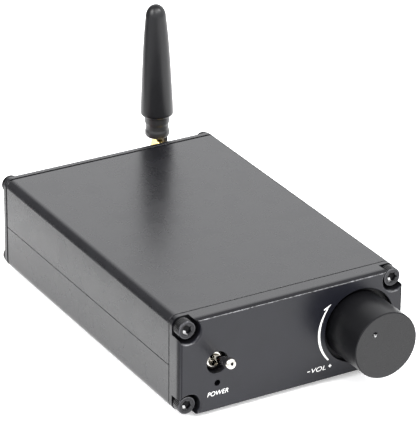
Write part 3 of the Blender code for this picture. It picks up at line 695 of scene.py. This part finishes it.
def make_screws():
    """Four cap screws in the front notches and four low ones on the rear panel."""
    kinds = (
        ("front_screw", FRONT, NOTCH_DEPTH - FRONT_PANEL - GAP, 4, 0.35, 1.3),
        ("rear_screw", REAR, LENGTH + REAR_PANEL + GAP, 2.2, 0.8, 1.4),
    )
    for kind, rotation, y, height, round_over, socket_depth in kinds:
        rings = screw_rings(height, round_over, socket_depth)
        for index, (name, x, z) in enumerate(screw_centres()):
            screw = polar(f"{kind}_{name}_fine", rings, case_point(x, y, z), rotation, 144)
            screw.rotation_euler.rotate_axis("Z", math.radians(17 + 23 * index))
            piece(screw, "screw", "case", f"{kind}_{name}")
            paint_screw(screw, (height - 0.3) * MM)


def paint_screw(screw, chamfer):
    """Worn metal on the head's rounding, painted shade in the socket, and a painted highlight on the
    socket's faces low at the left.

    Faces between the socket's floor and the height given as chamfer are the socket's sides.
    """
    worn, glint, shaded = 1, 2, 3
    for material in (WORN_STEEL, HIGHLIGHT_STEEL, DARK):
        screw.data.materials.append(material)
    turn = screw.rotation_euler.to_matrix()
    toward_light = Vector((0.35, 0, 0.94))
    for face in screw.data.polygons:
        x, y, z = face.center
        radius = math.hypot(x, y)
        if 0.5 * MM < z < chamfer and radius < 1.8 * MM:
            # Painted highlight on the socket faces turned to the light, painted shade on the others.
            facing = -(turn @ Vector((x, y, 0))).normalized()
            lit = radius > 0.8 * MM and facing.dot(toward_light) > 0.86
            face.material_index = glint if lit else shaded
        elif radius > 2.9 * MM and z > chamfer - 0.1 * MM:
            face.material_index = worn


def make_feet():
    """Rubber pads with a shallow hollow under each."""
    rings = [(0, 1.7), (4.75, 1.7)] + arc((4.25, 0.5), 0.5, 0, -90, 5)
    rings += [(2.6, 0), (2.3, 0.35), (0, 0.35)]
    for level in ("front", "rear"):
        for side in ("left", "right"):
            node = f"foot_{level}_{side}"
            middle = centre(node)
            place = case_point(middle.x, middle.y, 0)
            place.z = 0
            piece(polar(f"{node}_pad", rings, place, UP, 64), "foot", "case", node)


# ---------------------------------------------------------------- front controls

def make_knob():
    """Plain drum with a drilled dimple in its face and a set screw hole underneath."""
    low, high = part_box("volume_knob")
    radius, length = (high.x - low.x) / 2 / MM, (high.y - low.y) / MM
    middle = centre("volume_knob")
    place = Vector(((low.x + high.x) / 2, high.y, (low.z + high.z) / 2))
    rim = 0.42
    rings = [(0, length), (radius - rim, length)]
    rings += arc((radius - rim, length - rim), rim, 75, 0, 5)
    rings += [(radius, 0.3), (radius - 0.3, 0), (7.2, 0), (7.2, 3.4), (3.25, 3.4), (3.25, 14), (0, 14)]
    knob = polar("volume_knob_cap", rings, place, FRONT, 160)

    angle, reach, drill_radius = math.radians(131), 6.9, 0.8
    dimple = Vector((reach * math.cos(angle), reach * math.sin(angle)))
    drill_place = case_point(middle.x + dimple.x, 0, middle.z + dimple.y)
    drill_place.y = low.y
    bowl = [(0, 2), (1.12, 2), (1.12, 0), (0.9, -0.2), (drill_radius, -0.5)]
    bowl += [(drill_radius * math.cos(a), -0.5 - 0.7 * math.sin(a)) for a in (0.5, 1.0, 1.3)]
    bowl.append((0, -1.2))
    drill = polar("drill", bowl, drill_place, FRONT, 40)
    hole = polar("set_hole", [(0, 14), (1.75, 14), (1.75, 0), (0, 0)],
                 case_point(middle.x, -14.3, middle.z - 2), (math.pi, 0, 0), 40)
    combine(knob, drill, hole)
    piece(knob, "knob", "knob", "volume_knob")

    shaded, side, glint = 1, 2, 3
    for material in (DARK, KNOB_SIDE, HIGHLIGHT_STEEL):
        knob.data.materials.append(material)
    # Painted shade in the dimple with a painted highlight at its lower right, and painted shade on the
    # face's rounded rim; the side takes a less shiny finish.
    lower_right = Vector((0.5, -0.87))
    for face in knob.data.polygons:
        offset = face.center.xy - dimple * MM
        height = face.center.z / MM
        if offset.length < 0.9 * MM and 10 < height < length - 0.02:
            face.material_index = glint if offset.dot(lower_right) > 0.56 * MM else shaded
        elif face.center.xy.length > (radius - rim) * MM and face.normal.z < 0.97:
            face.material_index = shaded if face.normal.z > 0.1 else side


def make_toggle():
    """Threaded bushing and a bat lever on a ball."""
    low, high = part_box("toggle_bushing")
    middle = centre("toggle_bushing")
    length, pitch, bore = (high.y - low.y) / MM, 0.75, 2.35
    rings = [(0, 1.0), (bore, 1.0), (bore, length), (2.6, length), (2.85, length - 0.1)]
    for turn in range(int(length / pitch)):
        top = length - 0.2 - turn * pitch
        rings += [(3.15, top), (3.15, top - 0.12), (2.78, top - pitch * 0.5), (2.78, top - pitch * 0.6)]
    rings += [(3.15, 0), (0, 0)]
    place = case_point(middle.x, 0.4, middle.z)
    bushing = polar("toggle_threaded_bushing", rings, place, FRONT, 72)
    piece(bushing, "switch_metal", "case", "toggle_bushing")

    tilt, reach, pivot_y = math.radians(15), 15.1, -3
    bat = [(0, reach - 0.4), (0.35, reach - 0.35), (0.55, reach - 0.08), (0.62, reach)]
    for angle in (0.35, 0.7, 1.0, 1.25, 1.45):
        bat.append((0.62 + 1.2 * math.sin(angle), reach - 0.85 * (1 - math.cos(angle)) ** 1.1))
    bat += [(1.92, 14.0), (1.95, 13.6), (1.94, 13.0), (1.9, 12.2), (1.8, 10.6), (1.6, 8.0),
            (1.25, 5.4), (0.95, 3.2)]
    ball = arc((0, 0), 1.9, 60, -90, 12)
    ball[-1] = (0, -1.9)
    lever = polar("toggle_bat_lever", bat + ball, case_point(middle.x, pivot_y, middle.z),
                  (math.pi / 2 - tilt, 0, 0), 64)
    piece(lever, "switch_metal", "switch_lever", "toggle_lever")
    # Painted shade in the small hollow at the lever's tip.
    lever.data.materials.append(DARK)
    for face in lever.data.polygons:
        if face.center.xy.length < 0.52 * MM and face.center.z > 12 * MM:
            face.material_index = 1


# ---------------------------------------------------------------- prints

def print_object(name, outline):
    """Thin ink film on the front face; the outline is x and z in mm from the case's middle."""
    thickness = 0.03 * MM
    bm = bmesh.new()
    lower = [bm.verts.new((x * MM, z * MM, 0)) for x, z in outline]
    upper = [bm.verts.new((x * MM, z * MM, thickness)) for x, z in outline]
    bm.faces.new(lower)
    bm.faces.new(upper)
    for i in range(len(outline)):
        bm.faces.new((lower[i - 1], lower[i], upper[i], upper[i - 1]))
    mark = rough_object(name, mesh_from(bm, name), case_point(0, -FRONT_PANEL, 0), FRONT)
    finish_print(mark)


def finish_print(mark):
    """Ink on the front panel, which rides with the case."""
    mark.data.materials.clear()
    mark.data.materials.append(PRINT)
    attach(mark, "case")


def print_word(name, text, x, z, size, width):
    """A plain slanted word that starts at x, z; width in mm is its full length."""
    data = bpy.data.curves.new(name, "FONT")
    data.body = text
    data.size = size * MM
    data.shear = 0.25
    data.offset = -0.02 * MM
    data.extrude = 0.02 * MM
    guide = rough_object(name, data)
    mesh = evaluated(guide)
    bpy.data.objects.remove(guide)
    xs = [v.co.x for v in mesh.vertices]
    stretch = width * MM / (max(xs) - min(xs))
    for vertex in mesh.vertices:
        vertex.co.x = (vertex.co.x - min(xs)) * stretch
    mark = rough_object(name, mesh, case_point(x, -FRONT_PANEL - 0.02, z), FRONT)
    finish_print(mark)


def make_prints():
    """Volume sweep with an arrow head, and plain words beside the controls."""
    middle, radius, steps = (25.7, 17.5), 15.4, 40
    outer, inner = [], []
    for i in range(steps + 1):
        t = i / steps
        angle = math.radians(222 - 84 * t)
        half = 0.12 + 0.3 * math.sin(math.pi * min(1, 0.12 + 0.88 * t)) ** 0.8
        for side, reach in ((outer, radius + half), (inner, radius - half)):
            side.append((middle[0] + reach * math.cos(angle), middle[1] + reach * math.sin(angle)))
    print_object("volume_sweep_mark", outer + inner[::-1])
    print_object("volume_arrow_mark", [(14.75, 28.35), (11.9, 26.95), (12.0, 26.6), (13.75, 27.0)])
    print_word("volume_word", "VOL", 7.7, 3.75, 2.45, 5.6)
    print_word("power_word", "POWER", -33.15, 5.35, 2.45, 8.05)
    print_object("minus_mark", [(6.0, 4.45), (6.95, 4.45), (7.0, 4.72), (6.05, 4.72)])
    arm, bar, x, z = 0.58, 0.16, 15.0, 4.75
    plus = []
    for sx, sz in ((1, 1), (-1, 1), (-1, -1), (1, -1)):
        corner = [(arm, bar), (bar, bar), (bar, arm)]
        if sx != sz:
            corner.reverse()
        plus += [(x + sx * a, z + sz * b) for a, b in corner]
    print_object("plus_mark", plus)


# ---------------------------------------------------------------- rear connections

def make_posts():
    """Fluted caps and collars on gold stems."""
    flutes = fluted(4.9, 0.35, 18)
    cap = [(2.4, 19.3), (2.7, 20), (3.9, 20)] + arc((3.9, 19.0), 1.0, 80, 0, 5)
    cap += [(flutes, 18.4), (flutes, 6.2), (4.9, 5.6), (4.9, 3.5), (4.6, 3.2), (3.2, 3.2), (3.2, 18),
            (2.4, 18)]
    collar = [(3.2, 2.6), (4.5, 2.6)] + arc((4.5, 2.2), 0.4, 80, 0, 4)
    collar += [(4.9, 0.2), (4.7, 0), (3.2, 0)]
    for number in range(1, 5):
        middle = centre(f"post_cap_{number}")
        place = case_point(middle.x, LENGTH + REAR_PANEL, middle.z)
        finish = "red_plastic" if number % 2 else "black_plastic"
        post_cap = polar(f"post_cap_{number}_fluted", cap, place, REAR, 108, closed=True)
        piece(post_cap, finish, f"speaker_cap_{number}", f"post_cap_{number}")
        place.y += GAP * MM
        post_collar = polar(f"post_collar_{number}_ring", collar, place, REAR, 72, closed=True)
        piece(post_collar, finish, "case", f"post_collar_{number}")


def make_antenna_nuts(x, z):
    """Gold nut on the panel and the coupling's hexagon behind it."""
    back = LENGTH + REAR_PANEL
    across, thickness, bore = 8.0, 2.1, 3.48
    corner = across / math.sqrt(3)
    flats, turned_down = cut_hexagon(across, corner), cut_hexagon(across, corner - 0.35)
    rings = [(bore, thickness), (bore + 0.3, thickness), (turned_down, thickness),
             (flats, thickness - 0.35), (flats, 0.35), (turned_down, 0), (bore, 0)]
    nut = polar("antenna_panel_nut", rings, case_point(x, back + GAP, z), REAR, 96, closed=True)
    piece(nut, "gold", "case", "sma_panel_nut")

    flats, turned_down = cut_hexagon(across, 4.6), cut_hexagon(across, 4.25)
    rings = [(1.9, 4.1), (3.6, 4.1), (turned_down, 3.9), (flats, 3.5), (flats, 1.2),
             (turned_down, 0.9), (4.0, 0.8), (4.0, 0), (3.5, 0), (3.5, 3.4), (1.9, 3.4)]
    place = case_point(x, back + 3.1, z)
    coupling = polar("antenna_coupling_hexagon", rings, place, REAR, 96, closed=True)
    piece(coupling, "gold", "case", "antenna_coupling_nut")


def beside(place, x, y=0.0, z=0.0):
    """A place in the frame, moved by some mm."""
    return place + Vector((x * MM, y * MM, z * MM))


def make_antenna_knuckle(hinge):
    """Brass shaft with a round tongue, and the pin through it."""
    shaft = [(0, 0), (1.55, 0), (1.55, -5.8), (3.0, -5.8), (3.1, -5.9), (3.1, -6.4), (3.0, -6.5),
             (0, -6.5)]
    knuckle = polar("antenna_brass_knuckle", shaft, hinge, REAR, 48)
    disc = [(0, 2.1), (3.5, 2.1), (3.7, 1.9), (3.7, 0.2), (3.5, 0), (0, 0)]
    tongue = polar("tongue", disc, beside(hinge, -0.9), RIGHT, 64)
    combine(knuckle, tongue, operation="UNION")
    trims = [box(f"trim_{x}", (6, 8.2, 8.2), beside(hinge, x, 0.8)) for x in (-3.9, 4.2)]
    bore = [(0, 10), (1.1, 10), (1.1, 0), (0, 0)]
    pin_hole = polar("pin_hole", bore, beside(hinge, -5), RIGHT, 32)
    combine(knuckle, pin_hole, *trims)
    piece(knuckle, "gold", "antenna_swivel", "antenna_knuckle")
    pin_rings = [(0, 5.4), (0.5, 5.4), (0.8, 5.1), (0.8, 0.3), (0.5, 0), (0, 0)]
    pin = polar("antenna_pin", pin_rings, beside(hinge, -1.4), RIGHT, 32)
    piece(pin, "gold", "antenna_swivel", "antenna_hinge_pin")


def make_antenna_sleeve(hinge):
    """Tapered rubber sleeve with a waisted neck and an ear beside the knuckle's tongue."""
    top, tip, dome, steps = 57.6, 3.85, 5, 12
    rings = [(0, top)]
    for i in range(1, steps + 1):
        angle = math.pi / 2 * (1 - i / steps)
        rings.append((tip * math.cos(angle), top - dome + dome * math.sin(angle)))
    rings += [(4.24, 49), (4.6, 45), (4.92, 40.5), (5.2, 36), (5.53, 29.2), (5.85, 22.4),
              (6.03, 18.5), (6.15, 15.2), (6.17, 14.6), (6.1, 14.2), (5.85, 13.9), (5.2, 13.6)]
    rings += [(4.75, 13.3), (4.7, 12.9), (4.67, 11.0), (4.6, 10.6), (4.36, 10.1), (4.3, 9.7),
              (4.3, 8.3), (4.36, 7.9), (4.54, 7.4), (4.6, 7.0), (4.6, 5.8), (4.45, 5.4), (4.1, 5.0),
              (3.8, 4.9), (0, 4.9)]
    sleeve = polar("antenna_rubber_sleeve", rings, hinge, UP, 96)
    ear_rings = [(0, 1.4), (2.1, 1.4), (2.3, 1.2), (2.3, 0.2), (2.1, 0), (0, 0)]
    ear = polar("ear", ear_rings, beside(hinge, 2.2), RIGHT, 48)
    web = box("ear_web", (1.4, 3.2, 5), beside(hinge, 2.9, 0, 2.7), 0.2)
    combine(sleeve, ear, web, operation="UNION")
    bore = [(0, 8), (1.1, 8), (1.1, 0), (0, 0)]
    combine(sleeve, polar("ear_hole", bore, beside(hinge, 1), RIGHT, 32))
    lean = math.radians(-0.8)
    sleeve.rotation_euler = (0, lean, 0)
    piece(sleeve, "antenna_rubber", "antenna_mast", "antenna_sleeve")
    sleeve.data.materials.append(NECK_LIGHT)
    # Painted light: the lighter rubber on the neck and below lifts their shade.
    neck = 13.5 * MM
    for face in sleeve.data.polygons:
        if face.center.z < neck:
            face.material_index = 1


def make_antenna():
    """Nuts, hinge and sleeve over the coaxial socket."""
    x, z = SOCKETS["sma_jack"]
    hinge = case_point(x, 134, z)
    make_antenna_nuts(x, z)
    make_antenna_knuckle(hinge)
    make_antenna_sleeve(hinge)


add_camera()
add_world()
add_floor()
add_area("key", (0.585, -0.56, 1.01), (0.45, 0.45), 10)
add_area("left", (-0.95, 0.05, 0.8), (0.7, 0.7), 13)
add_area("front", (-0.1, -0.7, 1.15), (1.0, 0.8), 16)

# Every CAD node gets its slot's finish, for those that no finer piece replaces.
for part in frame["record"]["subparts"]:
    node = frame["nodes"][part["node"]]
    node.data.materials.clear()
    node.data.materials.append(SLOTS[part["material_slot"]])

make_shells()
make_front_panel()
make_rear_panel()
make_screws()
make_feet()
make_knob()
make_toggle()
make_prints()
make_posts()
make_antenna()
